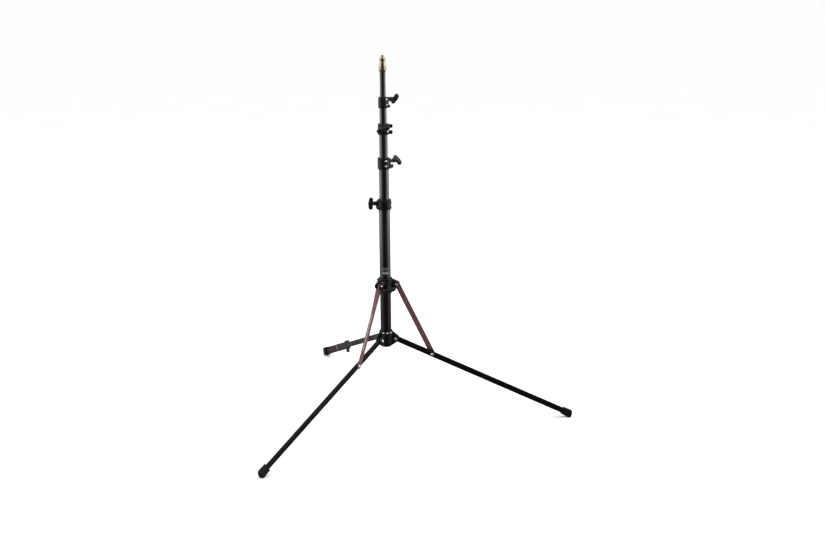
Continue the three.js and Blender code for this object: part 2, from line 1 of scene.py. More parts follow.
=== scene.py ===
"""Looks of the compact lighting stand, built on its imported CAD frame.

Every shape is drawn in millimetres in the local frame of its part: the column's axis is
local Z, and legs and braces run along local X from their pivots. piece() then bakes it into
the row frame in metres and keeps the local coordinates in the "grain" attribute, so that
draw lines and brush marks follow each part.
"""
import math

import bpy
import bmesh
from mathutils import Matrix, Vector


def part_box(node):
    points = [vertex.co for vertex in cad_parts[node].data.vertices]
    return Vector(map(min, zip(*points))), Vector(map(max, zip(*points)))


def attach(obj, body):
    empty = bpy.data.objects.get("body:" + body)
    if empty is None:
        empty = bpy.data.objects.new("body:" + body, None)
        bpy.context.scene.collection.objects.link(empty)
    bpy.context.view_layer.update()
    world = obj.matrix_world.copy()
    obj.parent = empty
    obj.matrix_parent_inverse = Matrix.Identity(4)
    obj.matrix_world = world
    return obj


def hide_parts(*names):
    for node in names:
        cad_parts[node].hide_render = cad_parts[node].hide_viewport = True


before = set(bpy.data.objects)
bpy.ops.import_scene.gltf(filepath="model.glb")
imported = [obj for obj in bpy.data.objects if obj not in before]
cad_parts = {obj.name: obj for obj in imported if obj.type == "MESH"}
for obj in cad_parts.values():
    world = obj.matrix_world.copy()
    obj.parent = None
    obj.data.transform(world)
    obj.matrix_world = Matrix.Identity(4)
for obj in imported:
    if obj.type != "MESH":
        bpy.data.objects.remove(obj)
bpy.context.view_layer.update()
MM = 0.001

# ------------------------------------------------------------------ dimensions, millimetres
TUBE_RADII = (15, 13, 11, 9.25, 7.5)
TUBE_WALL = 1.2
GAP = 0.3
LEG_AZIMUTHS = {"right": 330, "levelling": 90, "left": 210}
LEG_PIVOT = Vector((28, 219))
LEG_END = Vector((520, 8.7))
BRACE_TOP = Vector((31.5, 377.3))
BRACE_ON_LEG = 111
BRACE_HALF_WIDTH = 7.4
BRACE_FACES = (4.5, 7.1)
CHEEK_FACES = (4.4, 8.2)
LUG_FACES = (7.4, 11.2)
LEG_SECTION = (8, 4, 3.6)            # half height, half thickness, edge radius
INNER_LEG_SECTION = (7.9, 2.9, 2.2)
# Each collar's clamp side, its wall, its knob (share of its height, tilt in degrees, extra reach),
# its round lugs (angle from the clamp side, share of its height, reach) and its rivets (angle from
# the clamp side, share of its height), from the lowest collar up.
COLLARS = (
    dict(azimuth=167.5, wall=3.4, knob=(0.62, 68, -3), lugs=(),
         rivets=((-85, 0.3), (168, 0.22), (168, 0.7))),
    dict(azimuth=7.5, wall=3.2, knob=(0.66, 28, 5), lugs=((-12, 0.22, 10),),
         rivets=((-100, 0.3), (-100, 0.74))),
    dict(azimuth=-112.5, wall=3.3, knob=(0.62, 20, 0), lugs=((85, 0.22, 10), (85, 0.78, 10)),
         rivets=((52, 0.3),)),
    dict(azimuth=7.5, wall=3.0, knob=(0.76, 140, 3), lugs=(),
         rivets=((-66, 0.3), (-72, 0.78))),
)
SLIDER_KNOB = dict(azimuth=-98, tilt=8, out=1.6, height=371)
SLIDER_WALL = 3.4
SLIDER_BUSH = 1.8                    # from the tube to the slider's bore
HUB_WALL = 4
HUB_SCREWS = {"hub_screw": -102.5, "hub_screw_right": -72, "hub_screw_left": -133}
BOSS_RADIUS = 6                      # round boss that a clamp knob's screw runs through
BOSS_REACH = 5.5
SCREW_HOLE = 2.9
EAR_RADIUS = 4.4
EAR_END = 9.5
LUG_RADIUS = 5
KNOB_BAR_AT = 16                     # inner face of a knob's bar beyond its collar's wall
KNOB_BAR_HALF = 18
KNOB_BAR_DEPTH = 11.5
KNOB_BAR_SWEEP = 0.8
KNOB_BAR_THICK = 10
LEVEL_KNOB_AT = 314
SLEEVE_START = 324.3
SLEEVE_END_GAP = 12                  # from the sleeve's end to the leg's
SLEEVE_FACES = (-6.4, 4.2)
SLEEVE_HALF_HEIGHT = 11.2
SLEEVE_BORE = (3.2, 8.2)             # half thickness, half height
BOOT_SECTION = (9.9, 6.3)            # half height, half thickness
LEVEL_BOOT_SECTION = (12.7, 7.6)
BOOT_BACK = 27                       # how far a boot reaches up the leg from its end
BOOT_NOSE = 3
BOOT_GROOVES = (8.5, 12.5, 16.5)     # from the boot's mouth
GROOVE_WIDTH = 1.5
LABEL_AZIMUTH = -110
LABEL_HALF_WIDTH = 9
LABEL_BANDS = (("label_upper_band", 419.5, 427.5, "dim_film"),
               ("label_lower_band", 408, 415.5, "film"))

run = LEG_END - LEG_PIVOT
LEG_LENGTH = run.length
LEG_TILT = math.degrees(math.atan2(-run.y, run.x))
leg_direction = run.normalized()
brace_run = LEG_PIVOT + BRACE_ON_LEG * leg_direction - BRACE_TOP
BRACE_LENGTH = brace_run.length
BRACE_TILT = math.degrees(math.atan2(-brace_run.y, brace_run.x))

low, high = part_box("base_tube")
AXIS_X, AXIS_Y = (low.x + high.x) / 2, (low.y + high.y) / 2


def bottom_of(node):
    """Height of a CAD node's underside."""
    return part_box(node)[0].z / MM


def top_of(node):
    """Height of a CAD node's top."""
    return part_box(node)[1].z / MM


# ------------------------------------------------------------------ places
def turn(angle, axis):
    """Rotation by degrees about an axis."""
    return Matrix.Rotation(math.radians(angle), 4, axis)


def shift(x=0, y=0, z=0):
    """Move by millimetres in a frame that is in metres."""
    return Matrix.Translation(Vector((x, y, z)) * MM)


COLUMN = Matrix.Translation((AXIS_X, AXIS_Y, 0))


def around(azimuth, height=0):
    """Frame on the column's axis at a height, its X pointing to an azimuth."""
    return COLUMN @ turn(azimuth, "Z") @ shift(z=height)


def spoke(side, point):
    """Frame at a point of a leg's upright plane, given from the column's axis and the floor."""
    return around(LEG_AZIMUTHS[side]) @ shift(point.x, 0, point.y)


def leg_place(side):
    return spoke(side, LEG_PIVOT) @ turn(LEG_TILT, "Y")


def brace_place(side):
    return spoke(side, BRACE_TOP) @ turn(BRACE_TILT, "Y")


Z_TO_X = turn(90, "Y")
Z_TO_Y = turn(-90, "X")


# ------------------------------------------------------------------ materials
class Shader:
    """A Principled material under construction."""

    def __init__(self, name):
        self.material = bpy.data.materials.new(name)
        self.material.use_nodes = True
        self.tree = self.material.node_tree
        self.principled = self.tree.nodes["Principled BSDF"]

    def node(self, kind, inputs=(), **settings):
        made = self.tree.nodes.new(kind)
        for key, value in settings.items():
            setattr(made, key, value)
        for key, value in dict(inputs).items():
            self.feed(made.inputs[key], value)
        return made

    def feed(self, socket, value):
        if isinstance(value, bpy.types.NodeSocket):
            self.tree.links.new(value, socket)
        else:
            socket.default_value = value

    def noise(self, coordinates, scale, detail=3.0):
        scaled = self.node("ShaderNodeVectorMath", {0: coordinates, 1: scale},
                           operation="MULTIPLY")
        made = self.node("ShaderNodeTexNoise", {"Vector": scaled.outputs[0], "Scale": 1.0,
                                                "Detail": detail, "Roughness": 0.55})
        return made.outputs["Fac"]

    def ramp(self, value, low, high, start=0.0, end=1.0):
        made = self.node("ShaderNodeMapRange", {"Value": value, "From Min": low, "From Max": high,
                                                "To Min": start, "To Max": end})
        return made.outputs["Result"]

    def mix(self, factor, first, second):
        made = self.node("ShaderNodeMix", data_type="RGBA")
        self.feed(made.inputs["Factor"], factor)
        self.feed(made.inputs["A"], first)
        self.feed(made.inputs["B"], second)
        return made.outputs["Result"]


def finish(name, dark, light, metallic, rough, grain, relief, gloss=0.5, blotch=0.03, wear=None,
           node_space=False):
    """A material with its own fine texture, its colour drifting from dark to light.

    rough is the range of its roughness. grain is the texture's frequency per millimetre along
    local X, Y and Z, and relief its depth in millimetres. wear is the colour that shows through
    on sharp outer edges. node_space is for CAD nodes, which carry no "grain" attribute.
    """
    s = Shader(name)
    if node_space:
        source = s.node("ShaderNodeTexCoord").outputs["Object"]
        coordinates = s.node("ShaderNodeVectorMath", {0: source, 1: (1 / MM,) * 3},
                             operation="MULTIPLY").outputs[0]
    else:
        coordinates = s.node("ShaderNodeAttribute", attribute_name="grain").outputs["Vector"]
    fine = s.noise(coordinates, grain)
    broad = s.noise(coordinates, (blotch,) * 3, 2.0)
    colour = s.mix(s.ramp(broad, 0.32, 0.68), (*dark, 1), (*light, 1))
    fine_rough = s.ramp(fine, 0.3, 0.7, rough[0], rough[1])
    worn_rough = s.ramp(broad, 0.3, 0.75, -0.04, 0.05)
    roughness = s.node("ShaderNodeMath", {0: fine_rough, 1: worn_rough}, operation="ADD").outputs[0]
    if wear:
        edge = s.node("ShaderNodeNewGeometry").outputs["Pointiness"]
        rub = s.ramp(edge, 0.53, 0.60)
        chips = s.ramp(s.noise(coordinates, (0.5,) * 3, 4.0), 0.44, 0.58)
        amount = s.node("ShaderNodeMath", {0: rub, 1: chips}, operation="MULTIPLY").outputs[0]
        colour = s.mix(amount, colour, (*wear, 1))
    bump = s.node("ShaderNodeBump", {"Height": fine, "Strength": 1.0, "Distance": relief * MM})
    s.feed(s.principled.inputs["Base Color"], colour)
    s.feed(s.principled.inputs["Roughness"], roughness)
    s.feed(s.principled.inputs["Normal"], bump.outputs["Normal"])
    s.principled.inputs["Metallic"].default_value = metallic
    s.principled.inputs["Specular IOR Level"].default_value = gloss
    return s.material


ALONG_Z = (1.6, 1.6, 0.012)          # draw lines along a tube
ALONG_X = (0.012, 1.6, 1.6)
TUBE_TONES = ((0.0055, 0.0030, 0.0026), (0.0085, 0.0052, 0.0048))
LEG_TONES = ((0.0035, 0.0026, 0.0025), (0.0060, 0.0046, 0.0044))
RED_TONES = ((0.112, 0.046, 0.052), (0.145, 0.060, 0.067))
CAST_TONES = ((0.0034, 0.0034, 0.0033), (0.0066, 0.0063, 0.0061))
PLASTIC_TONES = ((0.012, 0.012, 0.013), (0.020, 0.020, 0.021))
FINISHES = {
    "tube": finish("tube", *TUBE_TONES, 0.0, (0.17, 0.25), ALONG_Z, 0.004, gloss=0.5),
    "leg": finish("leg", *LEG_TONES, 0.0, (0.20, 0.30), ALONG_X, 0.004, gloss=0.06),
    "inner_leg": finish("inner_leg", (0.020, 0.018, 0.019), (0.032, 0.029, 0.030), 0.0,
                        (0.24, 0.34), ALONG_X, 0.004, gloss=0.4),
    "sleeve": finish("sleeve", (0.020, 0.0125, 0.0135), (0.031, 0.021, 0.022), 0.2,
                     (0.32, 0.44), ALONG_X, 0.008, gloss=0.3),
    "clamp": finish("clamp", (0.016, 0.011, 0.012), (0.026, 0.018, 0.019), 0.0,
                    (0.34, 0.46), (1.4, 1.4, 1.4), 0.02, gloss=0.3),
    "casting": finish("casting", *CAST_TONES, 0.0, (0.26, 0.40), (1.3, 1.3, 1.3), 0.035,
                      gloss=0.15, wear=(0.06, 0.058, 0.055)),
    "red": finish("red", *RED_TONES, 0.1, (0.38, 0.52), (0.02, 1.9, 1.9), 0.010,
                  gloss=0.3, wear=(0.30, 0.19, 0.19)),
    "brass": finish("brass", (0.20, 0.155, 0.105), (0.28, 0.225, 0.155), 1.0, (0.12, 0.22),
                    (0.05, 0.05, 3.2), 0.008),
    "chrome": finish("chrome", (0.62, 0.62, 0.63), (0.80, 0.80, 0.80), 1.0, (0.10, 0.22),
                     (2.2, 2.2, 2.2), 0.004),
    "steel": finish("steel", (0.24, 0.24, 0.25), (0.36, 0.36, 0.36), 1.0, (0.28, 0.42),
                    (2.5, 2.5, 2.5), 0.006),
    "dark_steel": finish("dark_steel", (0.045, 0.045, 0.047), (0.075, 0.075, 0.077), 1.0,
                         (0.3, 0.44), (2.5, 2.5, 2.5), 0.006),
    "knob": finish("knob", (0.0040, 0.0050, 0.0045), (0.0075, 0.0088, 0.0080), 0.0, (0.26, 0.40),
                   (3.4, 3.4, 3.4), 0.022, gloss=0.2, wear=(0.04, 0.042, 0.04)),
    "bush": finish("bush", *PLASTIC_TONES, 0.0, (0.34, 0.46), (2.6, 2.6, 2.6), 0.012),
    "inside": finish("inside", *PLASTIC_TONES, 0.0, (0.34, 0.46), (2.6, 2.6, 2.6), 0.012,
                     node_space=True),
    "rubber": finish("rubber", (0.0028, 0.0028, 0.0028), (0.0055, 0.0052, 0.0050), 0.0,
                     (0.50, 0.72), (2.0, 2.0, 2.0), 0.05, gloss=0.12, blotch=0.09),
    "film": finish("film", (0.15, 0.14, 0.135), (0.23, 0.215, 0.20), 0.2, (0.35, 0.5),
                   (0.8, 0.8, 0.8), 0.006),
    "dim_film": finish("dim_film", (0.055, 0.05, 0.048), (0.10, 0.092, 0.088), 0.2, (0.35, 0.5),
                       (0.8, 0.8, 0.8), 0.006),
    "paint": finish("paint", (0.50, 0.46, 0.42), (0.66, 0.62, 0.58), 0.0, (0.4, 0.55),
                    (1.4, 1.4, 1.4), 0.008),
    "red_paint": finish("red_paint", (0.10, 0.012, 0.016), (0.16, 0.02, 0.024), 0.0, (0.4, 0.55),
                        (1.4, 1.4, 1.4), 0.008),
}


# ------------------------------------------------------------------ outlines
def rounded(points, radius, cuts=4):
    """A closed outline with its corners rounded; a third value in a point is its own radius."""
    out = []
    for i, point in enumerate(points):
        corner = Vector(point[:2])
        before = Vector(points[i - 1][:2]) - corner
        after = Vector(points[(i + 1) % len(points)][:2]) - corner
        wanted = point[2] if len(point) > 2 else radius
        reach = min(wanted, 0.48 * before.length, 0.48 * after.length)
        if reach < 1e-3:
            out.append(corner)
            continue
        start, end = corner + before.normalized() * reach, corner + after.normalized() * reach
        for k in range(cuts + 1):
            w = k / cuts
            out.append((1 - w) ** 2 * start + 2 * w * (1 - w) * corner + w ** 2 * end)
    return out


def arc(x, z, radius, start, end, cuts=16):
    """Points on a circle from one angle to another, in degrees."""
    angles = [math.radians(start + (end - start) * k / cuts) for k in range(cuts + 1)]
    return [Vector((x + radius * math.cos(a), z + radius * math.sin(a))) for a in angles]


# ------------------------------------------------------------------ solids
def lathe(profile, steps=96):
    """Solid of revolution about Z from a closed [radius, height] outline."""
    bm = bmesh.new()
    angles = [2 * math.pi * k / steps for k in range(steps)]
    rings = []
    for radius, z in profile:
        if radius < 1e-4:
            rings.append([bm.verts.new((0, 0, z))])
        else:
            rings.append([bm.verts.new((radius * math.cos(a), radius * math.sin(a), z))
                          for a in angles])
    for first, second in zip(rings, rings[1:] + rings[:1]):
        if len(first) == len(second) == 1:
            continue
        for k in range(steps):
            j = (k + 1) % steps
            corners = [first[k % len(first)], first[j % len(first)],
                       second[j % len(second)], second[k % len(second)]]
            bm.faces.new(list(dict.fromkeys(corners)))
    bmesh.ops.recalc_face_normals(bm, faces=bm.faces)
    return bm


def plate(outline, y0, y1, edge=0.4):
    """Flat solid between two Y faces from a closed [x, z] outline, with eased rims."""
    bm = bmesh.new()
    face = bm.faces.new([bm.verts.new((x, y0, z)) for x, z in outline])
    extruded = bmesh.ops.extrude_face_region(bm, geom=[face])["geom"]
    far_side = [v for v in extruded if isinstance(v, bmesh.types.BMVert)]
    bmesh.ops.translate(bm, vec=(0, y1 - y0, 0), verts=far_side)
    bmesh.ops.recalc_face_normals(bm, faces=bm.faces)
    if edge:
        rim = [e for e in bm.edges if abs(e.verts[0].co.y - e.verts[1].co.y) < 1e-5]
        bmesh.ops.bevel(bm, geom=rim, offset=edge, segments=3, profile=0.5, affect="EDGES",
                        clamp_overlap=True)
    return bm


def moved(bm, matrix):
    """The solid after a move in millimetres."""
    bmesh.ops.transform(bm, matrix=matrix, verts=bm.verts)
    return bm


def move(x=0, y=0, z=0):
    return Matrix.Translation((x, y, z))


def block(x0, x1, y0, y1, z0, z1, edge=0.0):
    bm = bmesh.new()
    bmesh.ops.create_cube(bm, size=1)
    middle = move((x0 + x1) / 2, (y0 + y1) / 2, (z0 + z1) / 2)
    moved(bm, middle @ Matrix.Diagonal((x1 - x0, y1 - y0, z1 - z0, 1)))
    if edge:
        bmesh.ops.bevel(bm, geom=bm.edges[:], offset=edge, segments=3, profile=0.5,
                        affect="EDGES", clamp_overlap=True)
    return bm


def rod(radius, z0, z1, ease=0.0, steps=48):
    """Rod along Z with eased rims."""
    outline = [(0, z0, 0), (radius, z0, ease), (radius, z1, ease), (0, z1, 0)]
    return lathe(rounded(outline, ease), steps)


def rod_x(radius, x0, x1, y=0, z=0, ease=0.0):
    return moved(rod(radius, x0, x1, ease), move(0, y, z) @ Z_TO_X)


def rod_y(radius, y0, y1, x=0, z=0, ease=0.0, steps=48):
    return moved(rod(radius, y0, y1, ease, steps), move(x, 0, z) @ Z_TO_Y)


def soft_bar(half_height, half_thick, corner, x0, x1, middle=0.0, ease=0.4):
    """Bar along X with rounded long edges."""
    section = []
    y, z = half_thick - corner, half_height - corner
    for cy, cz, start in ((y, z, 0), (-y, z, 90), (-y, -z, 180), (y, -z, 270)):
        section += arc(cy, cz, corner, start, start + 90, 8)
    bm = plate([(p.x, p.y) for p in section], x0, x1, ease)
    swap_x_and_y = Matrix(((0, 1, 0, 0), (1, 0, 0, 0), (0, 0, 1, 0), (0, 0, 0, 1)))
    bm = moved(bm, move(0, middle) @ swap_x_and_y)
    bmesh.ops.recalc_face_normals(bm, faces=bm.faces)
    return bm


def scratch_object(bm):
    """Short-lived object for the modifiers to work on."""
    mesh = bpy.data.meshes.new("scratch")
    bm.to_mesh(mesh)
    bm.free()
    made = bpy.data.objects.new("scratch", mesh)
    bpy.context.scene.collection.objects.link(made)
    return made


def evaluated(made, others=()):
    """The object's mesh with its modifiers, as a new bmesh; the objects are deleted."""
    bpy.context.view_layer.update()
    shown = made.evaluated_get(bpy.context.evaluated_depsgraph_get())
    bm = bmesh.new()
    bm.from_mesh(shown.to_mesh())
    shown.to_mesh_clear()
    for one in (made, *others):
        mesh = one.data
        bpy.data.objects.remove(one)
        bpy.data.meshes.remove(mesh)
    return bm


def carve(solids, cutters=(), common=()):
    """The union of the solids, less the cutters, kept only inside the common ones."""
    made, *added = [scratch_object(bm) for bm in solids]
    others = list(added)
    steps = [("UNION", one) for one in added]
    for operation, group in (("DIFFERENCE", cutters), ("INTERSECT", common)):
        for bm in group:
            others.append(scratch_object(bm))
            steps.append((operation, others[-1]))
    for operation, other in steps:
        modifier = made.modifiers.new("carve", "BOOLEAN")
        modifier.operation = operation
        modifier.object = other
        modifier.solver = "EXACT"
    return evaluated(made, others)


def cast(solids, cutters=(), voxel=0.5, soften=6, keep=0.4):
    """Like carve(), with the inner and outer corners flowed together as in a moulding."""
    made = scratch_object(carve(solids, cutters))
    remesh = made.modifiers.new("remesh", "REMESH")
    remesh.mode = "VOXEL"
    remesh.voxel_size = voxel
    smooth = made.modifiers.new("smooth", "SMOOTH")
    smooth.factor = 0.5
    smooth.iterations = soften
    thin = made.modifiers.new("thin", "DECIMATE")
    thin.ratio = keep
    return evaluated(made)


# ------------------------------------------------------------------ pieces
def piece(name, bm, place, look, body, node=None, sharp=38):
    """Bakes a solid into the row frame as a shown piece that rides on a body."""
    bmesh.ops.dissolve_degenerate(bm, edges=bm.edges, dist=1e-4)
    for face in bm.faces:
        face.smooth = True
    limit = math.radians(sharp)
    for edge in bm.edges:
        edge.smooth = not (edge.is_manifold and edge.calc_face_angle(0) > limit)
    mesh = bpy.data.meshes.new(name)
    bm.to_mesh(mesh)
    bm.free()
    local = [c for vertex in mesh.vertices for c in vertex.co]
    grain = mesh.attributes.new("grain", "FLOAT_VECTOR", "POINT")
    grain.data.foreach_set("vector", local)
    mesh.transform(place @ Matrix.Scale(MM, 4))
    mesh.materials.append(FINISHES[look])
    made = bpy.data.objects.new(name, mesh)
    bpy.context.scene.collection.objects.link(made)
    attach(made, body)
    if node:
        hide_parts(node)
    return made


def stand_in(node, bm, place, look, body, sharp=38):
    """A finer piece that stands for one CAD node."""
    return piece(node + "_shown", bm, place, look, body, node, sharp)


def keep_shape(node):
    """A CAD node that is right as it is and only gets a moulded finish."""
    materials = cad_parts[node].data.materials
    materials.clear()
    materials.append(FINISHES["inside"])


def dome_screw(radius=3.1, height=2.0, shank=1.5):
    """Dome-headed screw standing on z = 0, with a round socket in its head."""
    outline = [
        (0, -1.6, 0), (shank, -1.6), (shank, 0.05, 0), (radius, 0.05, 0.15),
        (radius * 0.93, height * 0.55, 0.6), (radius * 0.52, height, 0.3),
        (radius * 0.36, height, 0.15), (radius * 0.33, height * 0.35, 0.1), (0, height * 0.35, 0),
    ]
    return lathe(rounded(outline, 0.3), 40)


def hex_nut(radius, thick, bore):
    """Six-sided nut standing on z = 0 with eased faces."""
    corners = arc(0, 0, radius, 0, 300, 5)
    upright = turn(90, "X") @ move(0, -thick, 0)
    nut = moved(plate(rounded(corners, 0.25, 2), 0, thick, 0.35), upright)
    return carve([nut], [rod(bore, -1, thick + 1, 0, 32)])


def headed_pin(radius, head, start, end, domes):
    """Pin along Z with a low dome on one or both ends, each dome with a set ring."""
    outline = [(0, start - domes[0], 0)]
    if domes[0]:
        outline += [(head * 0.30, start - domes[0], 0.1),
                    (head * 0.38, start - domes[0] * 0.8, 0.2),
                    (head * 0.66, start - domes[0] * 0.98, 0.5),
                    (head, start - 0.45 * domes[0], 0.6), (head, start, 0.15)]
    outline += [(radius, start, 0), (radius, end, 0)]
    if domes[1]:
        outline += [(head, end, 0.15), (head, end + 0.45 * domes[1], 0.6),
                    (head * 0.66, end + domes[1] * 0.98, 0.5),
                    (head * 0.38, end + domes[1] * 0.8, 0.2), (head * 0.30, end + domes[1], 0.1)]
    outline.append((0, end + domes[1], 0))
    return lathe(rounded(outline, 0.2), 48)


# ------------------------------------------------------------------ column
def riser_body(k):
    """Body of the kth tube from below."""
    return "base" if k == 0 else f"riser_{k}"


def build_tubes():
    """The five tubes, open at both ends."""
    for k, radius in enumerate(TUBE_RADII):
        node = "base_tube" if k == 0 else f"riser_{k}_tube"
        z0, z1 = bottom_of(node), top_of(node)
        inner = radius - TUBE_WALL
        outline = rounded([(inner, z0), (radius, z0), (radius, z1), (inner, z1)], 0.4)
        stand_in(node, lathe(outline, 128), COLUMN, "tube", riser_body(k))


def build_label():
    """Plain two-band film on the base tube, above the slider."""
    under, face = TUBE_RADII[0] - 0.2, TUBE_RADII[0] + 0.08
    for name, z0, z1, look in LABEL_BANDS:
        band = lathe(rounded([(under, z0), (face, z0), (face, z1), (under, z1)], 0.03, 2), 128)
        window = moved(block(0, 30, -LABEL_HALF_WIDTH, LABEL_HALF_WIDTH, z0 - 2, z1 + 2),
                       turn(LABEL_AZIMUTH, "Z"))
        piece(name, carve([band], common=[window]), COLUMN, look, "base")


def build_collar(k, azimuth, wall, knob, lugs, rivets):
    """Cast clamp collar on the kth tube's top, with its screws and its knob."""
    number = k + 1
    node = f"collar_{number}"
    body = riser_body(k)
    z0, z1 = bottom_of(node), top_of(node)
    bore = TUBE_RADII[k] + GAP
    lip_bore = TUBE_RADII[number] + 0.5
    outer = bore + wall
    knob_share, tilt, out = knob
    knob_height = z0 + knob_share * (z1 - z0)
    ear_at, ear_height = outer - 0.6, z0 + 5.5
    place = around(azimuth)
    shell = lathe(rounded([
        (2, z0, 0), (outer - 0.8, z0), (outer, z0 + 1.2), (outer, z1 - 6.4, 0.5),
        (outer - 1.0, z1 - 5.8, 0.4), (outer - 1.0, z1 - 4.9, 0.4), (outer, z1 - 4.3, 0.5),
        (outer, z1 - 1.8), (outer - 1.5, z1), (2, z1, 0),
    ], 1.0), 96)
    pad = block(0, outer + 2.2, -6.6, 6.6, z0 + 1.5, z1 - 3, 1.6)
    ear = rod_y(EAR_RADIUS, -EAR_END, EAR_END, ear_at, ear_height, 0.8)
    boss = rod_x(BOSS_RADIUS, 0, outer + BOSS_REACH, 0, knob_height, 0.9)

    def level(share):
        return z0 + share * (z1 - z0)

    prongs = [moved(rod_x(LUG_RADIUS, 0, outer + reach, 0, level(share), 2.4), turn(angle, "Z"))
              for angle, share, reach in lugs]
    seats = [moved(rod(3.9, bore + 0.4, outer + 0.35, 0.3, 32),
                   turn(angle, "Z") @ move(0, 0, level(share)) @ Z_TO_X)
             for angle, share in rivets]
    cutters = [
        rod(bore + 0.1, z0 - 1, z1 - 2.2, 0, 96),
        rod(lip_bore, z0 - 1, z1 + 1, 0, 96),
        block(bore - 2, outer + 12, -1, 1, z0 - 1, knob_height - BOSS_RADIUS - 0.5),
        rod_x(SCREW_HOLE, bore - 1, outer + 12, 0, knob_height),
    ]
    shown = cast([shell, pad, ear, boss, *prongs, *seats], cutters, voxel=0.45, soften=5, keep=0.35)
    stand_in(node, shown, place, "casting", body)
    for index, (angle, share) in enumerate(rivets):
        screw = dome_screw()
        screw_place = around(azimuth + angle, level(share)) @ shift(outer + 0.3) @ Z_TO_X
        if index == 0:
            stand_in(f"{node}_rivet", screw, screw_place, "chrome", body)
        else:
            piece(f"{node}_screw_{index + 1}", screw, screw_place, "chrome", body)
    across = place @ shift(ear_at, 0, ear_height) @ Z_TO_Y
    piece(f"{node}_ear_screw", dome_screw(3.2, 1.9), across @ shift(z=EAR_END), "dark_steel", body)
    nut_place = across @ shift(z=-EAR_END - 2.3)
    piece(f"{node}_ear_nut", hex_nut(3.5, 2.4, 1.4), nut_place, "dark_steel", body)
    build_t_knob(node, place @ shift(z=knob_height), outer, tilt, out)


def build_t_knob(prefix, place, wall_radius, tilt, out):
    """T-shaped clamp knob along X with rounded wings, grip grooves and a round cap."""
    stem_start = wall_radius + BOSS_REACH + GAP + max(out, 0)
    bar_start = wall_radius + KNOB_BAR_AT + out
    half, depth = KNOB_BAR_HALF, KNOB_BAR_DEPTH
    sweep, thick = KNOB_BAR_SWEEP, KNOB_BAR_THICK
    radius = depth / 2
    inner = bar_start - sweep
    bulge = bar_start + depth
    outline = arc(inner + radius, radius - half, radius, 180, 360, 10)
    outline += quadratic((inner + depth, radius - half), (bulge + sweep, 0),
                         (inner + depth, half - radius), 14)
    outline += arc(inner + radius, half - radius, radius, 0, 180, 10)
    outline += quadratic((inner, half - radius), (bar_start + sweep, 0),
                         (inner, radius - half), 14)
    bar = plate(outline, -thick / 2, thick / 2, 2.8)
    stem = rod_x(5.3, stem_start, bar_start + depth / 2, 0, 0, 0.8)
    skirt = rod_x(6.1, stem_start, stem_start + 2.6, 0, 0, 0.7)
    cap = rod_x(4.4, bar_start + depth / 2, bulge + 0.7 * sweep, 0, 0, 0.7)
    cutters = [rod_x(SCREW_HOLE, stem_start - 1, stem_start + 8)]
    for groove_at in (-8.6, -11.4, 8.6, 11.4):
        cutters.append(rod_y(1.15, -thick, thick, inner - 0.35, groove_at, steps=24))
    shown = cast([bar, stem, skirt, cap], cutters, voxel=0.4, soften=4, keep=0.4)
    stand_in(f"{prefix}_knob", shown, place @ turn(tilt - 90, "X"), "knob", f"{prefix}_knob")
    keep_shape(f"{prefix}_knob_screw")


def quadratic(start, control, end, cuts):
    """Inner points of a curve that leaves one point and reaches another past a control."""
    a, b, c = Vector(start), Vector(control), Vector(end)
    return [(1 - w) ** 2 * a + 2 * w * (1 - w) * b + w ** 2 * c
            for w in (k / cuts for k in range(1, cuts))]


def build_spigot():
    """Brass plug and shoulder in the top tube, and the waisted stud with its thread."""
    base = bottom_of("spigot_shoulder")
    seat = top_of("riser_4_tube") + GAP
    top = top_of("spigot_shoulder")
    inner = TUBE_RADII[4] - TUBE_WALL - GAP
    shoulder = rounded([
        (0, base, 0), (inner, base), (inner, seat, 0.1), (8.6, seat), (9.8, seat + 3.7),
        (9.9, top - 6.4, 0.4), (9.1, top - 5.8, 0.3), (9.1, top - 5.0, 0.3), (9.9, top - 4.4, 0.4),
        (9.9, top - 3), (9.4, top, 0.7), (2.8, top, 0.2), (2.8, top - 9, 0.2), (0, top - 9, 0),
    ], 0.8)
    stand_in("spigot_shoulder", lathe(shoulder, 96), COLUMN, "brass", "riser_4")
    start = top + GAP
    tip = top_of("spigot")
    thread = tip - 6
    outline = [
        (0, start - 8, 0), (2.4, start - 8), (2.4, start, 0), (8, start, 0.4),
        (8, start + 6.5, 0.4), (6.9, start + 8.5, 0.5), (6.9, start + 13.5, 0.5),
        (8, start + 15.5, 0.4), (8, thread - 1.4, 0.5), (6.6, thread, 0.3), (3.2, thread, 0.1),
    ]
    for step in range(4):
        z = thread + 0.7 + 1.2 * step
        outline += [(2.7, z, 0.15), (3.2, z + 0.5, 0.12)]
    outline += [(2.6, tip, 0.2), (0, tip, 0)]
    stand_in("spigot", lathe(rounded(outline, 0.3, 3), 96), COLUMN, "brass", "riser_4", sharp=50)


